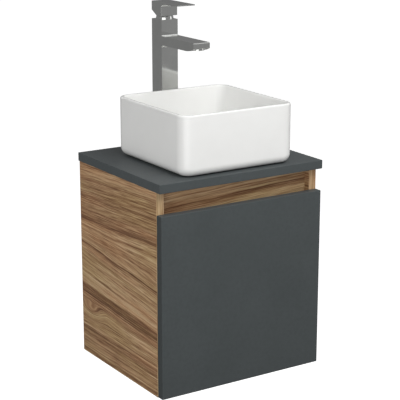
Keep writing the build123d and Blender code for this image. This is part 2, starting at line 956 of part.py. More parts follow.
def trap_body():
    """Trap's upper part: inlet collar, chamber and outlet collar."""
    collar_inner = pipe_radius + pipe_clearance
    ceiling = trap_collar_top - trap_collar_height - trap_wall
    chamber = trap_radius - trap_wall
    points = [
        (chamber, trap_bottom),
        (trap_radius, trap_bottom),
        (trap_radius, trap_shoulder - trap_shoulder_slope),
        (waste_tube_radius, trap_shoulder),
        (waste_tube_radius, trap_collar_top),
        (collar_inner, trap_collar_top),
        (collar_inner, ceiling),
        (chamber, ceiling - trap_inner_slope),
    ]
    body = turned(points, basin_y)
    start = basin_y + math.sqrt(trap_radius**2 - waste_tube_radius**2) - trap_wall
    body += bar_y(waste_tube_radius, start, outlet_collar_end, 0, trap_outlet_height)
    body -= rod(chamber, trap_bottom, ceiling - trap_inner_slope - trap_bottom, 0, basin_y)
    body -= rod(collar_inner, trap_bottom, trap_collar_top - trap_bottom, 0, basin_y)
    return body - bar_y(collar_inner, basin_y, outlet_collar_end, 0, trap_outlet_height)


def trap_cup():
    """Screw-off cup with grip ribs round its lower half."""
    threads = trap_radius + cup_thread_clearance
    inner = threads - trap_wall
    ledge = trap_bottom - cup_thread_clearance
    floor = cup_bottom + cup_wall
    points = [
        (0, cup_bottom),
        (cup_radius - cup_edge, cup_bottom),
        (cup_radius, cup_bottom + cup_edge),
        (cup_radius, cup_top),
        (threads, cup_top),
        (threads, ledge),
        (inner, ledge),
        (inner, floor + cup_inner_edge),
        (inner - cup_inner_edge, floor),
        (0, floor),
    ]
    cup = turned(points)
    groove = rod(
        cup_rib_radius, cup_bottom + cup_rib_margin, cup_height - 2 * cup_rib_margin,
        cup_radius + rib_offset)
    for step in range(cup_ribs):
        cup -= Rot(0, 0, step * 360 / cup_ribs) * groove
    return Pos(0, basin_y, 0) * cup


def trap_outlet_pipe():
    """Straight pipe to the wall, with a bead that stops it in the wall's sleeve."""
    start = outlet_collar_end - outlet_engagement
    pipe = bar_y(pipe_radius, start, back_face, 0, trap_outlet_height)
    stop = back_face - outlet_insertion
    pipe += bar_y(pipe_radius + bead_height, stop - bead_length, stop, 0, trap_outlet_height)
    return pipe - bar_y(pipe_radius - pipe_wall, start, back_face, 0, trap_outlet_height)


def tap_side():
    """Side view of column and spout, with concave rounds where they meet."""
    back = tap_y + tap_width / 2
    front = tap_y - tap_width / 2
    tip = front - spout_reach
    bend = front - spout_flat_length
    top = tap_base + spout_top
    low = top - spout_root_thickness
    upper, lower = spout_upper_round, spout_lower_round
    sink = 1 - math.sqrt(0.5)
    upper_middle = (front - sink * upper, top + sink * upper)
    lower_middle = (front - sink * lower, low - sink * lower)
    return [
        Line((back, tap_base), (back, tap_top)),
        Line((back, tap_top), (front, tap_top)),
        Line((front, tap_top), (front, top + upper)),
        ThreePointArc((front, top + upper), upper_middle, (front - upper, top)),
        Line((front - upper, top), (tip, top)),
        Line((tip, top), (tip, aerator_seat)),
        TangentArc((bend, low), (tip, aerator_seat), tangent=(-1, 0)),
        Line((bend, low), (front - lower, low)),
        ThreePointArc((front - lower, low), lower_middle, (front, low - lower)),
        Line((front, low - lower), (front, tap_base)),
        Line((front, tap_base), (back, tap_base)),
    ]


def tap_body():
    """Square column and spout in one casting, bored for the cartridge and the inlets."""
    half = tap_width / 2
    body = pressed(tap_side(), half)
    body = fillet(body.edges().filter_by(Axis.Z).group_by(Axis.Y)[0], spout_corner)
    top_edges = body.edges().filter_by(Axis.X).group_by(Axis.Z)[-1]
    body = fillet(outer_edges(body, half, tap_base + tap_edge) + top_edges, tap_edge)
    body -= rod(cartridge_radius + cartridge_clearance, cartridge_low, tap_top - cartridge_low, 0, tap_y)
    body -= rod(shank_radius + seat_clearance, tap_base, shank_engagement, 0, tap_y)
    for side in (-1, 1):
        body -= rod(inlet_radius, tap_base + shank_engagement, inlet_depth, side * inlet_offset, tap_y)
    body -= rod(aerator_radius + aerator_clearance, aerator_bottom, aerator_proud, 0, aerator_y)
    height = aerator_proud + aerator_thread_length + aerator_thread_play
    return body - rod(aerator_thread_radius + seat_clearance, aerator_bottom, height, 0, aerator_y)


def tap_base_seal():
    """Square rubber seal between the tap and the worktop."""
    half = tap_width / 2 - tap_seal_inset
    seal = span((-half, half), (tap_y - half, tap_y + half), (worktop_top, tap_base))
    return seal - rod(shank_radius + washer_clearance, worktop_top, tap_seal_height, 0, tap_y)


def tap_shank():
    """Threaded tube that clamps the tap through the worktop."""
    low = carcass_top - shank_below
    height = tap_base + shank_engagement - low
    return rod(shank_radius, low, height, 0, tap_y) - rod(shank_bore, low, height, 0, tap_y)


def tap_washer():
    """Clamping washer under the worktop."""
    low = carcass_top - tap_washer_thickness
    washer = rod(tap_washer_radius, low, tap_washer_thickness, 0, tap_y)
    return washer - rod(shank_radius + washer_clearance, low, tap_washer_thickness, 0, tap_y)


def tap_nut():
    """Brass nut on the shank."""
    bottom = carcass_top - tap_washer_thickness - tap_nut_height
    return hexagon_nut(tap_nut_flats, tap_nut_height, shank_radius + seat_clearance, 0, tap_y, bottom)


def aerator_housing():
    """Threaded ring screwed up into the spout."""
    points = [
        (aerator_bore, aerator_bottom),
        (aerator_radius - aerator_edge, aerator_bottom),
        (aerator_radius, aerator_bottom + aerator_edge),
        (aerator_radius, aerator_seat),
        (aerator_thread_radius, aerator_seat),
        (aerator_thread_radius, aerator_seat + aerator_thread_length),
        (aerator_bore, aerator_seat + aerator_thread_length),
    ]
    return turned(points, aerator_y)


def aerator_insert():
    """Plastic flow insert with a ring of slots."""
    low = aerator_bottom + aerator_insert_setback
    insert = rod(aerator_bore - aerator_insert_clearance, low, aerator_insert_height)
    slot = span(
        (aerator_slot_radius - aerator_slot_length / 2, aerator_slot_radius + aerator_slot_length / 2),
        (-aerator_slot_width / 2, aerator_slot_width / 2),
        (low, low + aerator_insert_height),
    )
    for step in range(aerator_slots):
        insert -= Rot(0, 0, step * 360 / aerator_slots) * slot
    return Pos(0, aerator_y, 0) * insert


def cartridge():
    """Ceramic cartridge's housing, bored for the turning driver."""
    top = cartridge_low + cartridge_length
    shoulder = top - cartridge_collar_height
    bore = driver_radius + driver_bore_clearance
    bore_end = tap_top - driver_below - driver_end_clearance
    points = [
        (0, cartridge_low),
        (cartridge_radius, cartridge_low),
        (cartridge_radius, shoulder),
        (cartridge_collar, shoulder),
        (cartridge_collar, top),
        (bore, top),
        (bore, bore_end),
        (0, bore_end),
    ]
    return turned(points, tap_y)


def cartridge_nut():
    """Ring nut that holds the cartridge down by its shoulder."""
    low = cartridge_low + cartridge_length - cartridge_collar_height
    ring = rod(cartridge_radius, low, tap_top - low, 0, tap_y)
    return ring - rod(cartridge_collar + ring_nut_clearance, low, tap_top - low, 0, tap_y)


def ball_zone(radius, low, high):
    """Slice of a sphere about the lever's pivot, between two heights over the pivot."""
    limit = span((-radius, radius), (tap_y - radius, tap_y + radius), (tap_top + low, tap_top + high))
    return Pos(0, tap_y, tap_top) * Sphere(radius) & limit


def tap_dome():
    """Chromed dome over the cartridge, round about the lever's pivot."""
    mouth = math.sqrt(dome_radius**2 - dome_mouth_radius**2)
    shell = ball_zone(dome_radius, 0, mouth)
    inner = Pos(0, tap_y, tap_top) * Sphere(dome_radius - dome_wall)
    return shell - inner - rod(dome_mouth_radius, tap_top, dome_radius, 0, tap_y)


def cartridge_driver():
    """Turning part of the cartridge, slotted for the stem and bored for its pin."""
    low = tap_top - driver_below
    driver = rod(driver_radius, low, driver_below + driver_above, 0, tap_y)
    slot = driver_slot / 2
    reach = driver_radius
    driver -= span(
        (-slot, slot), (tap_y - reach, tap_y + reach), (low + driver_floor, tap_top + driver_above))
    pin = pivot_pin_radius + stem_clearance
    return driver - bar_x(pin, -driver_radius, driver_radius, tap_y, tap_top)


def cartridge_stem():
    """Square stem on its pivot pin, which the lever tilts."""
    half = stem_side / 2
    stem = span((-half, half), (tap_y - half, tap_y + half), (tap_top - stem_bottom, tap_top + stem_top))
    reach = driver_radius - pivot_pin_inset
    return stem + bar_x(pivot_pin_radius, -reach, reach, tap_y, tap_top)


def lever_side():
    """Side view of the lever: a block, and a plate that thins towards its tip."""
    low = tap_top + lever_gap
    top = low + lever_block_height
    back = tap_y + tap_width / 2
    front = tap_y - tap_width / 2 + lever_front_setback
    tip = back - lever_length
    under = top - lever_root_thickness
    slope = (lever_root_thickness - lever_tip_thickness) / (front - tip)
    sink = lever_fillet * (1 - math.sqrt(0.5))
    plate_end = (front - lever_fillet, under + slope * lever_fillet)
    block_end = (front, under - lever_fillet)
    corners = [
        block_end,
        (front, low),
        (back - lever_chamfer_run, low),
        (back, low + lever_chamfer_rise),
        (back, top),
        (tip, top),
        (tip, top - lever_tip_thickness),
        plate_end,
    ]
    lines = [Line(a, b) for a, b in zip(corners, corners[1:])]
    return lines + [ThreePointArc(plate_end, (front - sink, under - sink), block_end)]


def lever_handle():
    """Square block with a flat lever plate, hollowed under for the dome."""
    half = tap_width / 2
    handle = pressed(lever_side(), half)
    ends = handle.edges().filter_by(Axis.X)
    sides = outer_edges(handle, half, tap_top)
    handle = fillet([edge for edge in sides if edge not in ends] + sharp_across(ends), lever_edge)
    handle -= Pos(0, tap_y, tap_top) * Sphere(dome_radius + lever_pocket_clearance)
    socket = stem_side / 2 + seat_clearance
    room = (tap_y - socket, tap_y + socket)
    handle -= span((-socket, socket), room, (tap_top, tap_top + stem_top + stem_top_clearance))
    return handle - grub_screw_hole(seat_clearance)


def sharp_across(edges):
    """The lever's cross edges, without the two seams of its inner round."""
    front = tap_y - tap_width / 2 + lever_front_setback
    inner = [front - lever_fillet, front]
    under = tap_top + lever_gap + lever_block_height - lever_root_thickness
    picked = []
    for edge in edges:
        middle = edge.center()
        beside_round = min(abs(middle.Y - y) for y in inner) < same_place
        if not (beside_round and under - lever_fillet - same_place < middle.Z < under + lever_edge):
            picked.append(edge)
    return picked


def grub_screw_hole(clearance=0.0):
    """Round of the grub screw behind the stem, or the hole for it."""
    start = tap_y + stem_side / 2
    end = tap_y + tap_width / 2 if clearance else start + grub_length
    return bar_y(grub_radius + clearance, start, end, 0, tap_top + grub_height)


def lever_screw():
    """Grub screw with a hexagon socket, which clamps the lever on its stem."""
    end = tap_y + stem_side / 2 + grub_length
    socket = extrude(RegularPolygon(grub_socket_corner, 6), grub_socket_depth)
    return grub_screw_hole() - Pos(0, end, tap_top + grub_height) * Rot(90, 0, 0) * socket


def drawer_front():
    """Lacquered front panel with softened edges."""
    panel = span((-side_half, side_half), (front_face, front_back), (front_lift, front_top))
    panel = fillet(panel.edges(), front_edge)
    for x, z in front_screw_places():
        panel -= front_screw(x, z, seat_clearance)
    return panel


def front_screw_places():
    """Screws from inside the box into the front."""
    x = box_half - box_board - front_screw_inset
    heights = (box_bottom + front_screw_low, box_top - front_screw_high)
    return [(side * x, z) for side in (-1, 1) for z in heights]


def front_screw(x, z, clearance=0.0):
    """Screw through the inner front into the front, or the hole for it."""
    start = front_back + box_board
    return bar_y(screw_radius + clearance, start, front_back - front_screw_bite, x, z)


def inner_front():
    """Front board of the drawer box."""
    half = box_half - box_board
    panel = span((-half, half), (front_back, front_back + box_board), (box_bottom, box_top))
    panel -= floor_groove((-half, half), (front_back + box_board - box_groove, front_back + box_board))
    for x, z in front_screw_places():
        panel -= front_screw(x, z, seat_clearance)
    return panel


def floor_groove(x, y):
    """Groove for the drawer's floor."""
    low = box_bottom + box_floor_height - groove_clearance
    return span(x, y, (low, low + box_floor + 2 * groove_clearance))


def drawer_side(hand):
    """Side board of the drawer box, grooved for the floor."""
    inner = hand * (box_half - box_board)
    panel = span((hand * box_half, inner), (front_back, box_back), (box_bottom, box_top))
    panel -= floor_groove((inner, inner + hand * box_groove), (front_back, box_back))
    for y in runner_screw_places():
        panel -= drawer_runner_screw(y, hand, seat_clearance)
    return panel


def drawer_runner_screw(y, hand, clearance=0.0):
    """Screw that holds a drawer member, or the hole for it."""
    start = hand * (box_half + runner_sheet)
    end = hand * (box_half - drawer_screw_bite)
    return bar_x(screw_radius + clearance, start, end, y, runner_centre)


def drawer_back():
    """Two short boards, one each side of the trap's cut-out."""
    boards = []
    for _, hand in handed:
        x = (hand * surround_half, hand * (box_half - box_board))
        panel = span(x, (box_back - box_board, box_back), (box_bottom, box_top))
        boards.append(panel - floor_groove(x, (box_back - box_board, box_back - box_board + box_groove)))
    return boards


def surround_plan(grow):
    """Plan of the trap's cut-out, open at the drawer's back, grown by grow."""
    half = surround_half + grow
    front = surround_nose - grow
    plan = Rectangle(2 * half, box_back - front, align=(Align.CENTER, Align.MIN))
    plan = Pos(0, front) * plan
    corners = plan.vertices().group_by(Axis.Y)[0]
    return fillet(corners, trap_cutout_corner + grow)


def drawer_bottom():
    """Floor of the drawer box, cut out round the trap."""
    half = box_half - box_board + box_groove - groove_clearance
    low = box_bottom + box_floor_height
    edge = box_groove - groove_clearance
    y = (front_back + box_board - edge, box_back - box_board + edge)
    floor = span((-half, half), y, (low, low + box_floor))
    cut = extrude(surround_plan(seat_clearance), 3 * box_floor)
    return floor - Pos(0, 0, low - box_floor) * cut


def trap_surround():
    """Moulded plastic wall round the trap's cut-out, with a lip on the floor."""
    inner = surround_plan(-surround_wall)
    low = box_bottom + box_floor_height
    wall = extrude(surround_plan(0) - inner, box_top - low)
    lip_end = box_back - box_board
    lip = extrude(surround_plan(surround_lip) - surround_plan(0), surround_lip_thickness)
    lip &= span((-box_half, box_half), (front_back, lip_end), (0, surround_lip_thickness))
    wall = Pos(0, 0, low) * wall + Pos(0, 0, low + box_floor) * lip
    tail = span((-surround_half, surround_half), (box_back, box_back + surround_wall), (low, box_top))
    return wall - tail


def drawer_screws():
    """Screws of the front and of the drawer's runner members."""
    screws = []
    for x, z in front_screw_places():
        start = front_back + box_board
        head = bar_y(screw_head_radius, start, start + screw_head, x, z)
        screws.append(front_screw(x, z) + head)
    for _, hand in handed:
        face = hand * (box_half + runner_sheet)
        for y in runner_screw_places():
            head = bar_x(screw_head_radius, face, face + hand * screw_head, y, runner_centre)
            screws.append(drawer_runner_screw(y, hand) + head)
    return screws


def front_bumpers():
    """Soft dots behind the front's corners, which meet the side panels."""
    dots = []
    for side in (-1, 1):
        x = side * (side_half - board / 2)
        for z in (front_lift + bumper_margin, front_top - bumper_margin):
            dots.append(bar_y(bumper_radius, front_back, side_front - bumper_play, x, z))
    return dots


def main():
    """Writes every sub-part."""
    os.makedirs("parts", exist_ok=True)
    for name, hand in handed:
        save(f"side_panel_{name}", side_panel(hand))
        save(f"drawer_side_{name}", drawer_side(hand))
        for kind in ("outer", "middle", "inner"):
            save(f"runner_{kind}_{name}", runner_member(kind, hand))
    save("bottom_panel", bottom_panel())
    save("back_panel", back_panel())
    save("grip_rail", rail("back", grip_face, carcass_top - grip_rail_height, grip_rail_height))
    save("rear_rail", rail("front", panel_front - board, rear_rail_bottom, rear_rail_height))
    save("carcass_dowels", dowels())
    save("cam_locks", cam_locks())
    save("cam_bolts", cam_bolts())
    save("worktop", worktop())
    save("worktop_brackets", brackets())
    save("bracket_screws", bracket_screws())
    save("cabinet_hangers", hangers())
    save("wall_plates", wall_plates())
    save("runner_balls", runner_balls())
    save("runner_cages", runner_cages())
    save("runner_screws", runner_screws())
    save("basin", basin())
    save("basin_seal", basin_seal())
    save("waste_body", waste_body())
    save("waste_seal", waste_seal())
    save("waste_washer", waste_washer())
    save("waste_nut", waste_nut())
    save("waste_plug", waste_plug())
    save("plug_ring", plug_ring())
    save("tailpipe", tailpipe())
    save("trap_nuts", trap_nuts())
    save("trap_body", trap_body())
    save("trap_cup", trap_cup())
    save("trap_outlet_pipe", trap_outlet_pipe())
    save("tap_body", tap_body())
    save("tap_base_seal", tap_base_seal())
    save("tap_shank", tap_shank())
    save("tap_washer", tap_washer())
    save("tap_nut", tap_nut())
    save("aerator_housing", aerator_housing())
    save("aerator_insert", aerator_insert())
    save("tap_cartridge", cartridge())
    save("cartridge_nut", cartridge_nut())
    save("tap_dome", tap_dome())
    save("cartridge_driver", cartridge_driver())
    save("cartridge_stem", cartridge_stem())
    save("lever_handle", lever_handle())
    save("lever_screw", lever_screw())
    save("drawer_front", drawer_front())
    save("drawer_inner_front", inner_front())
    save("drawer_back", drawer_back())
    save("drawer_bottom", drawer_bottom())
    save("trap_surround", trap_surround())
    save("drawer_screws", drawer_screws())
    save("front_bumpers", front_bumpers())


main()
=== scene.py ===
"""A wall-hung vanity unit with a square countertop basin and its tap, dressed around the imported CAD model."""

import math

import bmesh
import bpy
from mathutils import Matrix, Vector


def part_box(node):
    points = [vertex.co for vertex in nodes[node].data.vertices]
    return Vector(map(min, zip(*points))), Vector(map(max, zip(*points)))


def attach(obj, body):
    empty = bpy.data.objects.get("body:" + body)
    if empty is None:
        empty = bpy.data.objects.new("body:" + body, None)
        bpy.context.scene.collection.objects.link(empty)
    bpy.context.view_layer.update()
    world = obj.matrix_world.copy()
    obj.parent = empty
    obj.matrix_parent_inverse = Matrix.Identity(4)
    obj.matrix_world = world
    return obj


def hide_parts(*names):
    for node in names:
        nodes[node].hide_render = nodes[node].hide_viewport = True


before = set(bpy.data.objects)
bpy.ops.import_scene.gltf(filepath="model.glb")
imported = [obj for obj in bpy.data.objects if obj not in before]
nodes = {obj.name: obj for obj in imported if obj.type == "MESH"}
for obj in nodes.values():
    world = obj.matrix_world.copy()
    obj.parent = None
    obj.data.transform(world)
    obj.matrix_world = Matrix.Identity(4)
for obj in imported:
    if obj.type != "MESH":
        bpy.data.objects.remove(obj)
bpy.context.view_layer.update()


# Camera
# The photograph was taken from the left and slightly above, with a long lens.
# Place, turn and focal length come from the corners of the worktop and the panels.
picture_side = 400
focal_pixels = 1339.04
camera_data = bpy.data.cameras.new("camera")
camera_data.sensor_width = 36
camera_data.lens = camera_data.sensor_width * focal_pixels / picture_side
camera = bpy.data.objects.new("camera", camera_data)
camera.location = (-1.5348, -2.3992, 1.1328)
camera.rotation_euler = (math.radians(90 - 15.077), 0, math.radians(-32.658))
bpy.context.scene.collection.objects.link(camera)
bpy.context.scene.camera = camera


# Side panels
# Two boards of chipboard, faced with walnut decor whose grain runs from front to back.
# Their front edges carry an edge band of the same decor with the grain upright.
def tone(red, green, blue):
    """A colour as it shows on a screen, 0 to 255, turned to the values that a shader works in."""
    shares = [c / 255 for c in (red, green, blue)]
    return tuple(c / 12.92 if c <= 0.04045 else ((c + 0.055) / 1.055) ** 2.4 for c in shares) + (1.0,)


class Nodes:
    """A node tree being built. Each call adds a node and gives the socket to go on from."""

    def __init__(self, tree):
        self.tree = tree

    def add(self, kind, inputs, output=0, **settings):
        """One node with its settings and inputs, which are numbers or other nodes' sockets."""
        node = self.tree.nodes.new("ShaderNode" + kind)
        for key, value in settings.items():
            setattr(node, key, value)
        for key, value in inputs.items():
            if isinstance(value, bpy.types.NodeSocket):
                self.tree.links.new(value, node.inputs[key])
            else:
                node.inputs[key].default_value = value
        return node.outputs[output]

    def place(self, stretch=(1, 1, 1)):
        """The place on the piece, in metres, stretched for a pattern."""
        return self.add("Mapping", {"Vector": self.add("TexCoord", {}, "Object"), "Scale": stretch})

    def noise(self, where, scale, detail, roughness=0.5):
        return self.add("TexNoise", {"Vector": where, "Scale": scale, "Detail": detail,
                                     "Roughness": roughness})

    def bands(self, distance, scale, detail):
        """Bands of uneven width that follow one measure, as growth rings do."""
        return self.add("TexNoise", {"W": distance, "Scale": scale, "Detail": detail},
                        noise_dimensions="1D")

    def math(self, operation, first, second=0.0):
        return self.add("Math", {0: first, 1: second}, operation=operation)

    def span(self, value, low, high, to_low=0.0, to_high=1.0):
        """A value's part between low and high, spread over the part between to_low and to_high."""
        return self.add("MapRange", {"Value": value, "From Min": low, "From Max": high,
                                     "To Min": to_low, "To Max": to_high})

    def ramp(self, value, stops):
        """A colour that follows a value from 0 to 1 through (value, colour) stops."""
        node = self.tree.nodes.new("ShaderNodeValToRGB")
        self.tree.links.new(value, node.inputs[0])
        points = node.color_ramp.elements
        while len(points) < len(stops):
            points.new(0.5)
        for point, (position, colour) in zip(points, stops):
            point.position = position
        for point, (position, colour) in zip(points, stops):
            point.color = colour
        return node.outputs[0]

    def follow(self, value, stops):
        """A share from 0 to 1 that follows a measure through (measure, share) stops."""
        low, high = stops[0][0], stops[-1][0]
        return self.ramp(self.span(value, low, high), [
            ((place - low) / (high - low), (share, share, share, 1.0)) for place, share in stops])

    def mix(self, share, first, second, blend="MIX"):
        return self.add("Mix", {0: share, 6: first, 7: second}, 2, data_type="RGBA", blend_type=blend)

    def bump(self, height, depth, strength):
        return self.add("Bump", {"Height": height, "Distance": depth, "Strength": strength})


class Finish(Nodes):
    """A material being built: its shader, and the nodes that feed it."""

    def __init__(self, name, **constants):
        self.material = bpy.data.materials.new(name)
        self.material.use_nodes = True
        super().__init__(self.material.node_tree)
        self.shader = self.tree.nodes["Principled BSDF"]
        for socket, value in constants.items():
            self.shader.inputs[socket.replace("_", " ")].default_value = value

    def feed(self, **sockets):
        """Links nodes to the shader's sockets, and gives the finished material."""
        for socket, value in sockets.items():
            self.tree.links.new(value, self.shader.inputs[socket.replace("_", " ")])
        return self.material


def dress(material, *names):
    """Gives CAD nodes their finish."""
    for name in names:
        for slot in nodes[name].material_slots:
            slot.material = material


def walnut_figure(made, along, across, seed, placed, leaning, swirl=None):
    """The look of one face of walnut decor: (colour, gloss, height). Growth bands run along the grain. They
    lean, in metres a metre, by an amount that changes across the board, and may close round a swirl."""
    split = made.tree.nodes.new("ShaderNodeSeparateXYZ")
    made.tree.links.new(made.add("TexCoord", {}, "Object"), split.inputs[0])
    depth = ({"X", "Y", "Z"} - {along, across}).pop()
    here_along, here_across = split.outputs[along], split.outputs[across]
    straight_at, most_lean, leans = leaning
    lean = made.follow(here_across, [(place, 0.5 + slope / most_lean) for place, slope in leans])
    slope = made.math("MULTIPLY", made.math("SUBTRACT", lean, 0.5), most_lean)
    level = made.math("ADD", here_across, made.math(
        "MULTIPLY", slope, made.math("SUBTRACT", here_along, straight_at)))
    if swirl:
        swirl_along, swirl_across, swirl_length, swirl_height, swirl_lift = swirl
        off_along = made.math("DIVIDE", made.math("SUBTRACT", here_along, swirl_along), swirl_length)
        off_across = made.math("DIVIDE", made.math("SUBTRACT", here_across, swirl_across), swirl_height)
        off = made.math("ADD", made.math("MULTIPLY", off_along, off_along),
                        made.math("MULTIPLY", off_across, off_across))
        inside = made.math("MAXIMUM", made.math("SUBTRACT", 1.0, off), 0.0)
        lifted = made.math("MULTIPLY", made.math("MULTIPLY", inside, inside), swirl_lift)
        level = made.math("ADD", level, lifted)

    def streaks(scale, detail=2, roughness=0.5):
        grain = made.add("CombineXYZ", {0: here_along, 1: level, 2: split.outputs[depth]})
        where = made.add("Mapping", {"Vector": grain, "Location": (seed, seed * 0.7, 0), "Scale": scale})
        return made.noise(where, 1.0, detail, roughness)

    waved = made.math("ADD", level, made.math(
        "ADD", made.span(streaks((4, 9, 3), 1), 0, 1, -0.008, 0.008),
        made.span(streaks((16, 60, 5)), 0, 1, -0.0016, 0.0016)))
    parts = [
        (made.follow(waved, placed), 0.60),
        (made.bands(made.math("ADD", waved, seed), 45, 1), 0.30),
        (made.bands(made.math("ADD", waved, seed + 1), 150, 2), 0.45),
        (made.bands(made.math("ADD", waved, seed + 2), 380, 1), 0.40),
        (streaks((7, 300, 30), 3, 0.6), 0.80),
        (streaks((26, 1000, 90), 2), 0.65)]
    tone_share = made.math("MULTIPLY", parts[0][0], parts[0][1])
    for value, weight in parts[1:]:
        tone_share = made.math("ADD", tone_share, made.math("MULTIPLY", value, weight))
    middle = 0.5 * sum(weight for value, weight in parts)
    tone_share = made.math("ADD", made.math("SUBTRACT", tone_share, middle), 0.5)
    colour = made.ramp(tone_share, [
        (0.12, tone(92, 60, 41)),
        (0.34, tone(134, 98, 70)),
        (0.50, tone(172, 136, 101)),
        (0.66, tone(199, 167, 129)),
        (0.88, tone(222, 196, 161))])
    hue = streaks((3, 26, 3), 2)
    colour = made.mix(made.span(hue, 0.45, 0.62, 0, 0.6), colour,
                      made.mix(1.0, colour, tone(240, 242, 222), "MULTIPLY"))
    colour = made.mix(made.span(hue, 0.50, 0.34, 0, 0.7), colour,
                      made.mix(1.0, colour, tone(255, 240, 230), "MULTIPLY"))
    pores = made.span(streaks((20, 800, 70), 1), 0.60, 0.72, 0, 0.55)
    colour = made.mix(pores, colour, tone(96, 64, 44))
    gloss = made.span(tone_share, 0.2, 0.8, 0.42, 0.55)
    return colour, gloss, made.math("SUBTRACT", tone_share, pores)


def plain_walnut(name, along, across, seed, placed, leaning):
    """Walnut decor for a board that shows one face, with its grain along one direction."""
    made = Finish(name, Specular_IOR_Level=0.2)
    colour, gloss, height = walnut_figure(made, along, across, seed, placed, leaning)
    return made.feed(Base_Color=colour, Roughness=gloss, Normal=made.bump(height, 0.00012, 0.5))


quiet_lean = (0.0, 0.3, [(-0.5, 0.01), (0.5, 0.01)])


def panel_walnut():
    """The panels' decor, with an edge band of upright grain along the front edge."""
    made = Finish("walnut_panel", Specular_IOR_Level=0.2)
    growth = [
        (0.000, 0.42), (0.040, 0.50), (0.062, 0.30), (0.070, 0.52), (0.085, 0.60), (0.120, 0.56),
        (0.138, 0.36), (0.168, 0.20), (0.174, 0.62), (0.190, 0.76), (0.225, 0.58), (0.258, 0.56),
        (0.263, 0.34), (0.270, 0.56), (0.300, 0.66), (0.314, 0.58), (0.320, 0.12), (0.330, 0.42),
        (0.375, 0.44), (0.400, 0.50), (0.446, 0.56)]
    lean = (0.175, 0.3, [
        (0.00, 0.0), (0.05, 0.0), (0.12, -0.06), (0.18, -0.112),
        (0.25, -0.09), (0.30, 0.0), (0.33, 0.042), (0.446, 0.051)])
    swirl = (0.135, 0.105, 0.085, 0.028, 0.020)
    side = walnut_figure(made, "Y", "Z", 3.1, growth, lean, swirl)
    band = walnut_figure(made, "Z", "X", 8.3, [(-0.3, 0.74), (0.3, 0.74)], quiet_lean)
    side_ends, band_begins = -0.1554, -0.1557
    back_to_front = made.add("SeparateXYZ", {0: made.add("TexCoord", {}, "Object")}, 1)
    on_band = made.span(back_to_front, side_ends, band_begins)
    colour, gloss, height = [made.mix(on_band, side[k], band[k]) for k in range(3)]
    return made.feed(Base_Color=colour, Roughness=gloss, Normal=made.bump(height, 0.00012, 0.5))


dress(panel_walnut(), "side_panel_left", "side_panel_right")


# Bottom panel and rear rail
# Boards of the same walnut decor between the sides. Their grain runs from side to side.
# Dowels and cam locks hold them.
quiet_bands = [(-0.5, 0.5), (0.5, 0.5)]
dress(plain_walnut("walnut_bottom", "X", "Y", 7.7, quiet_bands, quiet_lean), "bottom_panel")
dress(plain_walnut("walnut_rail_back", "X", "Z", 11.3, quiet_bands, quiet_lean), "rear_rail")


# Grip rail
# The board that closes the recess behind the front's top edge. Fingers reach in over it.
# It has the panels' walnut decor with the grain from side to side, leaning a little.
grip_lean = (0.0, 0.3, [(0.35, -0.07), (0.45, -0.04)])
grip_bands = [(0.350, 0.66), (0.395, 0.62), (0.410, 0.44), (0.425, 0.60), (0.450, 0.56)]
dress(plain_walnut("walnut_grip", "X", "Z", 5.4, grip_bands, grip_lean), "grip_rail")


# Worktop and drawer front
# Boards with an anthracite decor: a matt, slightly mottled surface with a fine, dry grain.
# Their edges are banded, with a small radius that catches the light.
# How far in from the front's sides the painted shade reaches, and how softly it fades.
shaded_edge_reach, shaded_edge_blur = 0.0006, 0.0003


def anthracite(name, shaded_edge_at=None):
    """The decor. For the front, its upright side faces at the given x get painted shade: a darker tone standing
    in for the light they miss.
    """
    made = Finish(name, Specular_IOR_Level=0.12)
    here = made.place()
    cloud = made.noise(here, 9, 3)
    grain = made.noise(here, 900, 2)
    mottle = made.noise(here, 130, 3)
    colour = made.mix(made.span(cloud, 0.3, 0.7), tone(79, 84, 85), tone(83, 88, 89))
    colour = made.mix(made.span(mottle, 0.4, 0.8, 0, 0.35), colour, tone(71, 75, 76))
    if shaded_edge_at:
        sideways_place = made.math("ABSOLUTE", made.add("SeparateXYZ", {0: here}))
        # Painted shade: the front's side faces are darkened as if less light reached them.
        painted_shade_on_edge = made.span(sideways_place, shaded_edge_at - shaded_edge_reach, shaded_edge_at - shaded_edge_blur)
        colour = made.mix(painted_shade_on_edge, colour, made.mix(1.0, colour, tone(222, 222, 221), "MULTIPLY"))
    gloss = made.span(grain, 0.3, 0.7, 0.36, 0.48)
    return made.feed(Base_Color=colour, Roughness=gloss, Normal=made.bump(grain, 0.00006, 0.5))


dress(anthracite("anthracite"), "worktop")
# The front's upright side faces carry painted shade, darker than its face.
dress(anthracite("anthracite_front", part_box("drawer_front")[1][0]), "drawer_front")


# Back panel
# Thin brown hardboard with a pressed, slightly fibrous face. It slides into grooves of the side panels
# and has an opening for the pipes.
def hardboard():
    made = Finish("hardboard")
    here = made.place()
    fibres = made.noise(made.place((260, 260, 700)), 1.0, 4, 0.7)
    blotch = made.noise(here, 14, 4)
    colour = made.mix(made.span(blotch, 0.3, 0.7), tone(120, 88, 58), tone(140, 106, 72))
    colour = made.mix(made.span(fibres, 0.45, 0.75, 0, 0.6), colour, tone(92, 64, 42))
    return made.feed(Base_Color=colour, Roughness=made.span(fibres, 0.3, 0.7, 0.6, 0.8),
                     Normal=made.bump(fibres, 0.0001, 0.6))


dress(hardboard(), "back_panel")


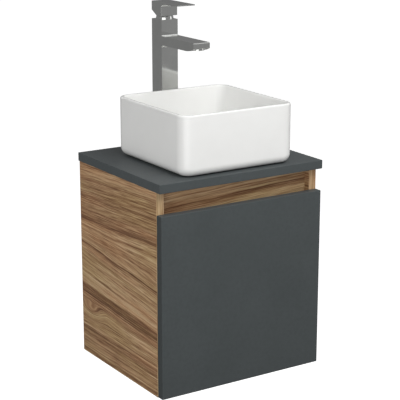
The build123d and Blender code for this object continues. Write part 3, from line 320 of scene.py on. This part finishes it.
# Drawer box
# Sides, inner front, back and bottom of grey melamine board with a fine, linen-like press.
# The bottom and the back leave room for the trap.
def melamine():
    made = Finish("grey_melamine")
    weave = made.math("MULTIPLY", made.noise(made.place((1400, 1400, 240)), 1.0, 1),
                      made.noise(made.place((240, 240, 1400)), 1.0, 1))
    cloud = made.noise(made.place(), 8, 3)
    colour = made.mix(made.span(cloud, 0.3, 0.7), tone(166, 167, 165), tone(176, 176, 173))
    colour = made.mix(made.span(weave, 0.2, 0.4, 0, 0.25), colour, tone(146, 147, 146))
    return made.feed(Base_Color=colour, Roughness=made.span(weave, 0.15, 0.4, 0.42, 0.55),
                     Normal=made.bump(weave, 0.00006, 0.5))


dress(melamine(), "drawer_side_left", "drawer_side_right", "drawer_inner_front", "drawer_back",
      "drawer_bottom")


# Dowels
# Beech pins that line the boards up where they join.
# They are glued in and can't be seen from outside.
def beech():
    made = Finish("beech")
    fibres = made.noise(made.place((60, 900, 900)), 1.0, 3)
    colour = made.mix(made.span(fibres, 0.3, 0.7), tone(196, 160, 118), tone(218, 186, 146))
    return made.feed(Base_Color=colour, Roughness=made.span(fibres, 0.3, 0.7, 0.5, 0.7),
                     Normal=made.bump(fibres, 0.0001, 0.5))


dress(beech(), "carcass_dowels")


# Metal fittings
# Cams and cam bolts are zinc castings. Brackets, hangers, wall plates and runners are bent from
# zinc-plated sheet, and the runners' balls and the lever's stem are plain steel.
def plated(name, dark, bright, rough, grain=(900, 900, 60)):
    made = Finish(name, Metallic=1.0)
    streak = made.noise(made.place(grain), 1.0, 3)
    cloud = made.noise(made.place(), 24, 4, 0.6)
    colour = made.mix(made.span(cloud, 0.3, 0.7), dark, bright)
    gloss = made.math("ADD", made.span(streak, 0.3, 0.7, rough - 0.05, rough + 0.05),
                      made.span(cloud, 0.3, 0.7, -0.04, 0.04))
    return made.feed(Base_Color=colour, Roughness=gloss, Normal=made.bump(streak, 0.00004, 0.4))


cast_zinc = plated("cast_zinc", tone(168, 170, 172), tone(196, 198, 200), 0.42, (300, 300, 300))
plated_sheet = plated("plated_sheet", tone(176, 179, 182), tone(204, 206, 208), 0.30)
dress(cast_zinc, "cam_locks", "cam_bolts")
dress(plated_sheet, "worktop_brackets", "wall_plates", "cabinet_hangers", "runner_outer_left",
      "runner_outer_right", "runner_middle_left", "runner_middle_right", "runner_inner_left",
      "runner_inner_right", "runner_cages", "tap_washer")
dress(plated("bearing_steel", tone(190, 192, 195), tone(214, 216, 219), 0.12, (300, 300, 300)),
      "runner_balls")
dress(plated("dark_steel", tone(120, 122, 125), tone(150, 152, 155), 0.38, (400, 400, 400)),
      "cartridge_stem", "lever_screw")


# Screws
# Zinc-plated chipboard screws with a raised head and a cross recess. They hold the runners, the brackets
# under the worktop and the drawer's front. Each sits where the CAD model's plain screw does.
screw_zinc = plated("screw_zinc", tone(170, 172, 176), tone(198, 200, 204), 0.34, (400, 400, 400))
screw_sizes = {
    "Shank radius": 0.00172, "Tip radius": 0.0006, "Head radius": 0.00348, "Crown radius": 0.0027,
    "Head height": 0.00158, "Recess length": 0.0036, "Recess width": 0.0009, "Recess depth": 0.0009}

screw_tree = bpy.data.node_groups.new("cross_recess_screws", "GeometryNodeTree")
screw_tree.interface.new_socket("Places", in_out="INPUT", socket_type="NodeSocketGeometry")
for size_name in screw_sizes:
    screw_tree.interface.new_socket(size_name, in_out="INPUT", socket_type="NodeSocketFloat")
screw_tree.interface.new_socket("Finish", in_out="INPUT", socket_type="NodeSocketMaterial")
screw_tree.interface.new_socket("Screws", in_out="OUTPUT", socket_type="NodeSocketGeometry")
given = screw_tree.nodes.new("NodeGroupInput").outputs


def turn_out(kind, inputs, **settings):
    """One step of the screw's making: a node with its settings and inputs. A list feeds one socket."""
    node = screw_tree.nodes.new(kind)
    for key, value in settings.items():
        setattr(node, key, value)
    for key, value in inputs.items():
        for part in value if isinstance(value, list) else [value]:
            if isinstance(part, bpy.types.NodeSocket):
                screw_tree.links.new(part, node.inputs[key])
            else:
                node.inputs[key].default_value = part
    return node.outputs[0]


def twice(socket):
    return turn_out("ShaderNodeMath", {0: socket, 1: 2.0}, operation="MULTIPLY")


head = turn_out("GeometryNodeMeshCone", {
    "Vertices": 24, "Radius Top": given["Crown radius"], "Radius Bottom": given["Head radius"],
    "Depth": given["Head height"]})
slots = []
for sides in (("Recess length", "Recess width"), ("Recess width", "Recess length")):
    block = turn_out("GeometryNodeMeshCube", {"Size": turn_out("ShaderNodeCombineXYZ", {
        0: given[sides[0]], 1: given[sides[1]], 2: twice(given["Recess depth"])})})
    slots.append(turn_out("GeometryNodeTransform", {
        "Geometry": block, "Translation": turn_out("ShaderNodeCombineXYZ", {2: given["Head height"]})}))
head = turn_out("GeometryNodeMeshBoolean", {0: head, 1: slots}, operation="DIFFERENCE")
shank = turn_out("GeometryNodeTransform", {
    "Geometry": turn_out("GeometryNodeMeshCone", {
        "Vertices": 16, "Radius Top": given["Tip radius"], "Radius Bottom": given["Shank radius"],
        "Depth": 1.0}),
    "Rotation": (math.pi, 0.0, 0.0)})
outward = turn_out("GeometryNodeInputNamedAttribute", {"Name": "outward"}, data_type="FLOAT_VECTOR")
facing = turn_out("FunctionNodeAlignRotationToVector", {"Vector": outward}, axis="Z")
reach = turn_out("GeometryNodeInputNamedAttribute", {"Name": "reach"}, data_type="FLOAT")
heads = turn_out("GeometryNodeInstanceOnPoints", {
    "Points": given["Places"], "Instance": head, "Rotation": facing})
shanks = turn_out("GeometryNodeInstanceOnPoints", {
    "Points": given["Places"], "Instance": shank, "Rotation": facing,
    "Scale": turn_out("ShaderNodeCombineXYZ", {0: 1.0, 1: 1.0, 2: reach})})
screws = turn_out("GeometryNodeJoinGeometry", {0: [heads, shanks]})
screws = turn_out("GeometryNodeSetMaterial", {
    "Geometry": turn_out("GeometryNodeRealizeInstances", {0: screws}), "Material": given["Finish"]})
screw_tree.links.new(screws, screw_tree.nodes.new("NodeGroupOutput").inputs[0])


def screw_places(node):
    """Where each screw of a CAD node sits: (underside of its head, direction out of the board, reach)."""
    grid = bmesh.new()
    grid.from_mesh(node.data)
    bmesh.ops.remove_doubles(grid, verts=grid.verts, dist=1e-6)
    left = set(grid.verts)
    places = []
    while left:
        screw, next_ones = set(), {min(left, key=lambda v: v.index)}
        while next_ones:
            screw |= next_ones
            next_ones = {e.other_vert(v) for v in next_ones for e in v.link_edges} - screw
        left -= screw
        corners = [[pick(v.co[k] for v in screw) for k in range(3)] for pick in (min, max)]
        length, axis = max((corners[1][k] - corners[0][k], k) for k in range(3))
        middle = [(corners[0][k] + corners[1][k]) / 2 for k in range(3)]
        rim = [v.co[axis] for v in screw
               if math.dist([v.co[k] for k in range(3) if k != axis],
                            [middle[k] for k in range(3) if k != axis]) > screw_sizes["Crown radius"]]
        side = 1 if sum(rim) / len(rim) > middle[axis] else -1
        outward = [side if k == axis else 0 for k in range(3)]
        seat = list(middle)
        seat[axis] += side * (length / 2 - screw_sizes["Head height"])
        places.append((tuple(round(c, 6) for c in seat), outward, length - screw_sizes["Head height"]))
    grid.free()
    return sorted(places)


screw_bodies = {"runner_screws": "cabinet", "bracket_screws": "cabinet", "drawer_screws": "drawer"}
for node_name, body in screw_bodies.items():
    places = screw_places(nodes[node_name])
    mesh = bpy.data.meshes.new(node_name + "_places")
    mesh.from_pydata([place[0] for place in places], [], [])
    mesh.attributes.new("outward", "FLOAT_VECTOR", "POINT")
    mesh.attributes.new("reach", "FLOAT", "POINT")
    for k, place in enumerate(places):
        mesh.attributes["outward"].data[k].vector = place[1]
        mesh.attributes["reach"].data[k].value = place[2]
    holder = bpy.data.objects.new(node_name + "_places", mesh)
    bpy.context.scene.collection.objects.link(holder)
    modifier = holder.modifiers.new("screws", "NODES")
    modifier.node_group = screw_tree
    for socket in screw_tree.interface.items_tree:
        if socket.in_out == "INPUT" and socket.name in screw_sizes:
            modifier[socket.identifier] = screw_sizes[socket.name]
        elif socket.name == "Finish":
            modifier[socket.identifier] = screw_zinc
    seen = holder.evaluated_get(bpy.context.evaluated_depsgraph_get())
    cross_screws = bpy.data.objects.new("cross_" + node_name, bpy.data.meshes.new_from_object(seen))
    bpy.context.scene.collection.objects.link(cross_screws)
    bpy.data.objects.remove(holder)
    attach(cross_screws, body)
    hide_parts(node_name)


# Basin
# Cast vitreous china with a white glaze, which is a little uneven, as glaze is.
# It stands on the worktop on a bead of black sealant. Its dark line under the foot is partly a real seal and
# partly painted shadow, standing in for the contact shadow there.
def glaze():
    made = Finish("white_glaze", IOR=1.5, Coat_Weight=0.25, Coat_Roughness=0.06)
    here = made.place()
    wave = made.noise(here, 16, 2)
    speck = made.noise(here, 240, 2)
    colour = made.mix(made.span(wave, 0.3, 0.7), tone(244, 244, 242), tone(247, 247, 245))
    colour = made.mix(made.span(speck, 0.66, 0.8, 0, 0.12), colour, tone(222, 222, 218))
    gloss = made.span(made.noise(here, 60, 3), 0.3, 0.7, 0.14, 0.22)
    return made.feed(Base_Color=colour, Roughness=gloss, Normal=made.bump(wave, 0.0006, 0.12))


dress(glaze(), "basin")


# Seals and bumpers
# Black rubber and sealant, dull, with a faint bloom. They seal the basin, the waste, the plug and the
# tap's foot, and soften the front as it closes.
def rubber():
    made = Finish("black_rubber")
    here = made.place()
    bloom = made.noise(here, 90, 4)
    colour = made.mix(made.span(bloom, 0.35, 0.75), tone(24, 24, 25), tone(40, 40, 41))
    return made.feed(Base_Color=colour, Roughness=made.span(bloom, 0.3, 0.7, 0.6, 0.8),
                     Normal=made.bump(made.noise(here, 700, 2), 0.00008, 0.5))


# The black basin_seal also stands in for the contact shadow under the basin's foot: its dark line is partly a
# real seal, partly painted shadow.
dress(rubber(), "basin_seal", "waste_seal", "waste_washer", "plug_ring", "tap_base_seal", "front_bumpers")


# Tap and waste
# Brass castings, ground and plated with chrome. The dome closes the tap's column under the lever, the
# aerator sits under the spout's tip, and the waste has a round push plug.
def chrome():
    made = Finish("chrome", Metallic=1.0)
    here = made.place()
    haze = made.noise(here, 40, 4, 0.6)
    polish = made.noise(made.place((1500, 1500, 90)), 1.0, 2)
    colour = made.mix(made.span(haze, 0.3, 0.7), tone(209, 210, 208), tone(215, 216, 214))
    gloss = made.span(haze, 0.3, 0.7, 0.05, 0.10)
    return made.feed(Base_Color=colour, Roughness=gloss, Normal=made.bump(polish, 0.00001, 0.15))


polished = chrome()
dress(polished, "tap_dome", "aerator_housing", "waste_plug", "waste_body")


# Tap body
# One casting: a square column with a flat spout whose underside sweeps up to the tip. It is ground nearly
# sharp at its edges, and bored for the cartridge, the aerator, the shank and the two inlets.
arc_steps = 14
ground_edge = 0.0004
spout_height = 0.2485
spout_thick, tip_thick, tip_wall = 0.020, 0.014, 0.0004
flat_underside = 0.097
neck_round_upper, neck_round_lower = 0.003, 0.005
tip_round_upper, tip_round_lower = 0.0028, 0.0025
sweep_leaves_along, sweep_leaves_down = 0.5, 0.85
cartridge_radius, cartridge_depth = 0.0178, 0.050
shank_radius, shank_depth = 0.01605, 0.010
inlet_radius, inlet_depth, inlet_aside = 0.0045, 0.025, 0.0065
aerator_play, aerator_roof, under_aerator = 0.00015, 0.011, 0.010
thread_radius, thread_depth = 0.01205, 0.007
overrun, overlap = 0.002, 0.001


def arc(y, z, radius, start, end):
    """Points of an arc in the side view, from one angle to another in degrees."""
    turns = [math.radians(start + (end - start) * k / arc_steps) for k in range(arc_steps + 1)]
    return [(y + radius * math.cos(turn), z + radius * math.sin(turn)) for turn in turns]


def cylinder(name, radius, low, high, y, x=0.0):
    """An upright round rod, which is taken out of the casting to bore it."""
    grid = bmesh.new()
    bmesh.ops.create_cone(grid, cap_ends=True, segments=64, radius1=radius, radius2=radius, depth=high - low,
                          matrix=Matrix.Translation((x, y, (low + high) / 2)))
    mesh = bpy.data.meshes.new(name)
    grid.to_mesh(mesh)
    grid.free()
    made = bpy.data.objects.new(name, mesh)
    bpy.context.scene.collection.objects.link(made)
    return made


body_low, body_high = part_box("tap_body")
aerator_low, aerator_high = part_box("aerator_housing")
column_half = body_high[0]
column_back = body_high[1]
column_front = column_back - 2 * column_half
column_y = (column_back + column_front) / 2
foot, top = body_low[2], body_high[2]
aerator_y = (aerator_low[1] + aerator_high[1]) / 2
aerator_radius = (aerator_high[0] - aerator_low[0]) / 2
spout_tip = aerator_low[1] - tip_wall
spout_upper = foot + spout_height
spout_lower = spout_upper - spout_thick
tip_lower = spout_upper - tip_thick
seat = spout_upper - aerator_roof
sweep_start = column_front - flat_underside
sweep_end = (spout_tip + tip_round_lower, tip_lower + tip_round_lower)
sweep_run = sweep_start - sweep_end[0] + sweep_leaves_along * tip_round_lower
sweep_rise = sweep_end[1] - sweep_leaves_down * tip_round_lower - spout_lower
sweep_radius = (sweep_run ** 2 + sweep_rise ** 2) / (2 * sweep_rise)
sweep_turn = math.degrees(math.asin(sweep_run / sweep_radius))
side_view = (
    [(column_back, foot), (column_back, top), (column_front, top)]
    + arc(column_front - neck_round_upper, spout_upper + neck_round_upper, neck_round_upper, 0, -90)
    + arc(spout_tip + tip_round_upper, spout_upper - tip_round_upper, tip_round_upper, 90, 180)
    + arc(sweep_end[0], sweep_end[1], tip_round_lower, 180, 270 - sweep_turn)
    + arc(sweep_start, spout_lower + sweep_radius, sweep_radius, 270 - sweep_turn, 270)[1:]
    + arc(column_front - neck_round_lower, spout_lower - neck_round_lower, neck_round_lower, 90, 0)
    + [(column_front, foot)])
grid = bmesh.new()
outline = [[grid.verts.new((x, y, z)) for y, z in side_view] for x in (-column_half, column_half)]
grid.faces.new(outline[0])
grid.faces.new(outline[1])
for k in range(len(side_view)):
    n = (k + 1) % len(side_view)
    grid.faces.new((outline[0][k], outline[0][n], outline[1][n], outline[1][k]))
bmesh.ops.recalc_face_normals(grid, faces=grid.faces)
rough_mesh = bpy.data.meshes.new("tap_casting_rough")
grid.to_mesh(rough_mesh)
grid.free()
rough = bpy.data.objects.new("tap_casting_rough", rough_mesh)
bpy.context.scene.collection.objects.link(rough)
ground = rough.modifiers.new("ground_edges", "BEVEL")
ground.width = ground_edge
ground.segments = 2
ground.limit_method = "ANGLE"
ground.angle_limit = math.radians(50)
inlet_low, inlet_high = foot + shank_depth - overlap, foot + inlet_depth
bores = [
    cylinder("cartridge_bore", cartridge_radius, top - cartridge_depth, top + overrun, column_y),
    cylinder("shank_bore", shank_radius, foot - overrun, foot + shank_depth, column_y),
    cylinder("left_inlet", inlet_radius, inlet_low, inlet_high, column_y, -inlet_aside),
    cylinder("right_inlet", inlet_radius, inlet_low, inlet_high, column_y, inlet_aside),
    cylinder("aerator_seat", aerator_radius + aerator_play, aerator_low[2] - under_aerator, seat, aerator_y),
    cylinder("aerator_thread", thread_radius, seat - overlap, seat + thread_depth, aerator_y)]
for bore in bores:
    drill = rough.modifiers.new(bore.name, "BOOLEAN")
    drill.operation = "DIFFERENCE"
    drill.solver = "EXACT"
    drill.object = bore
seen = rough.evaluated_get(bpy.context.evaluated_depsgraph_get())
tap_casting = bpy.data.objects.new("tap_casting", bpy.data.meshes.new_from_object(seen))
bpy.context.scene.collection.objects.link(tap_casting)
for scrap in [rough] + bores:
    bpy.data.objects.remove(scrap)


def polish(piece, body, node_name):
    """The chrome and the piece's place in the model. Its ground faces stay flat."""
    piece.data.shade_flat()
    piece.data.materials.clear()
    piece.data.materials.append(polished)
    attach(piece, body)
    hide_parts(node_name)


polish(tap_casting, "cabinet", "tap_body")


# Lever
# A casting with a flat plate over a square block, hollowed for the dome. Its edges are ground nearly
# sharp, and the plate reaches a little further than the CAD model's.
lever_low, lever_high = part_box("lever_handle")
lever_round = 0.0008
lever_keep = 0.4
lever_more = 0.0035
plate_bend = 0.020
plate_tip = (1, -1)
grid = bmesh.new()
grid.from_mesh(nodes["lever_handle"].data)
bmesh.ops.remove_doubles(grid, verts=grid.verts, dist=1e-6)
for corner in grid.verts:
    for axis in (0, 1, 2):
        for side, limit in ((-1, lever_low[axis]), (1, lever_high[axis])):
            inward = side * (limit - corner.co[axis])
            if inward < lever_round + 1e-5 and (axis, side) != plate_tip:
                corner.co[axis] = limit - side * inward * lever_keep
    beyond = lever_low[1] + plate_bend - corner.co.y
    if beyond > 0:
        corner.co.y -= lever_more * beyond / plate_bend
lever_mesh = bpy.data.meshes.new("lever_casting")
grid.to_mesh(lever_mesh)
grid.free()
lever_casting = bpy.data.objects.new("lever_casting", lever_mesh)
bpy.context.scene.collection.objects.link(lever_casting)
polish(lever_casting, "lever", "lever_handle")


# Nuts and shank
# Turned brass with fine tool marks. The nuts clamp the waste, the tap and its cartridge, and the
# threaded shank goes through the worktop.
dress(plated("turned_brass", tone(186, 150, 84), tone(208, 174, 104), 0.28, (60, 60, 1600)),
      "waste_nut", "tap_shank", "tap_nut", "cartridge_nut")


# Moulded plastics
# The trap, the cartridge and the aerator's insert are white polypropylene, and the surround that
# leaves room for the trap in the drawer is grey. The moulds give them a fine, even press.
def moulded(name, low, high, rough):
    made = Finish(name)
    here = made.place()
    flow = made.noise(here, 30, 3)
    spark = made.noise(here, 1100, 2)
    colour = made.mix(made.span(flow, 0.3, 0.7), low, high)
    return made.feed(Base_Color=colour, Roughness=made.span(spark, 0.3, 0.7, rough - 0.05, rough + 0.06),
                     Normal=made.bump(spark, 0.00005, 0.5))


dress(moulded("white_plastic", tone(226, 226, 222), tone(234, 234, 231), 0.36), "tailpipe", "trap_nuts",
      "trap_body", "trap_cup", "trap_outlet_pipe", "tap_cartridge", "cartridge_driver", "aerator_insert")
dress(moulded("grey_plastic", tone(128, 130, 131), tone(138, 140, 141), 0.48), "trap_surround")


# Floor and light
# A plain pale floor well below the unit, in a grey room with a dark flag behind the unit that draws the
# outlines of its polished parts. Soft lamps stand high in front, overhead, to the right and to the left.
floor_mesh = bpy.data.meshes.new("floor")
floor_low = -0.42
floor_radius = 30.0
floor_corners = 96
floor_mesh.from_pydata([(floor_radius * math.cos(2 * math.pi * k / floor_corners),
                         floor_radius * math.sin(2 * math.pi * k / floor_corners), floor_low)
                        for k in range(floor_corners)], [], [tuple(range(floor_corners))])
floor = bpy.data.objects.new("floor", floor_mesh)
bpy.context.scene.collection.objects.link(floor)
floor_finish = Finish("pale_floor", Roughness=0.9, Emission_Color=(1, 1, 1, 1), Emission_Strength=0.75)
floor_mesh.materials.append(floor_finish.feed(Base_Color=floor_finish.mix(
    floor_finish.noise(floor_finish.place(), 3, 2), tone(246, 246, 246), tone(250, 250, 250))))
floor.visible_diffuse = False
floor.visible_glossy = False

world = bpy.data.worlds.new("room")
bpy.context.scene.world = world
world.use_nodes = True
room = Nodes(world.node_tree)
direction = room.add("TexCoord", {}, "Generated")
glow = room.follow(room.add("SeparateXYZ", {0: direction}, 2), [
    (-1.0, 0.16), (-0.28, 0.27), (0.32, 0.29), (0.60, 0.30), (1.0, 0.34)])
brighter_side, flag_side = (0.07, -0.12, 0), (0.525, 0.812, -0.257)
flag_outer, flag_inner, flag_tone = 0.90, 0.985, 0.15
sideways = room.add("VectorMath", {0: direction, 1: brighter_side}, "Value", operation="DOT_PRODUCT")
flag = room.add("VectorMath", {0: direction, 1: flag_side}, "Value", operation="DOT_PRODUCT")
strength = room.math("MULTIPLY", room.math("MULTIPLY", glow, room.math("ADD", sideways, 1.0)),
                     room.span(flag, flag_outer, flag_inner, 1.0, flag_tone))
room.tree.links.new(room.math("ADD", strength, room.add("LightPath", {}, "Is Camera Ray")),
                    room.tree.nodes["Background"].inputs["Strength"])
room.tree.nodes["Background"].inputs["Color"].default_value = (1, 1, 1, 1)

aim = Vector((0, 0, 0.55))
for name, place, width, height, watts, mirrored in (
        ("high_lamp", (0.1, -0.95, 1.6), 0.9, 0.9, 12.8, False),
        ("left_window", (-2.4, -2.4, 0.7), 3.0, 2.2, 33.5, True),
        ("right_window", (2.7, -1.5, 0.9), 0.9, 1.8, 6.0, True),
        ("ceiling_lamp", (1.1, -0.8, 2.6), 1.2, 1.2, 5.0, True),
        ("left_fill", (-3.5, -0.3, 1.3), 2.0, 2.0, 25.0, False)):
    lamp_data = bpy.data.lights.new(name, "AREA")
    lamp_data.shape = "RECTANGLE"
    lamp_data.size = width
    lamp_data.size_y = height
    lamp_data.energy = watts
    lamp = bpy.data.objects.new(name, lamp_data)
    lamp.location = place
    lamp.rotation_euler = (aim - lamp.location).to_track_quat("-Z", "Y").to_euler()
    lamp.visible_glossy = mirrored
    lamp.visible_camera = False
    bpy.context.scene.collection.objects.link(lamp)

bpy.context.scene.view_settings.view_transform = "Standard"
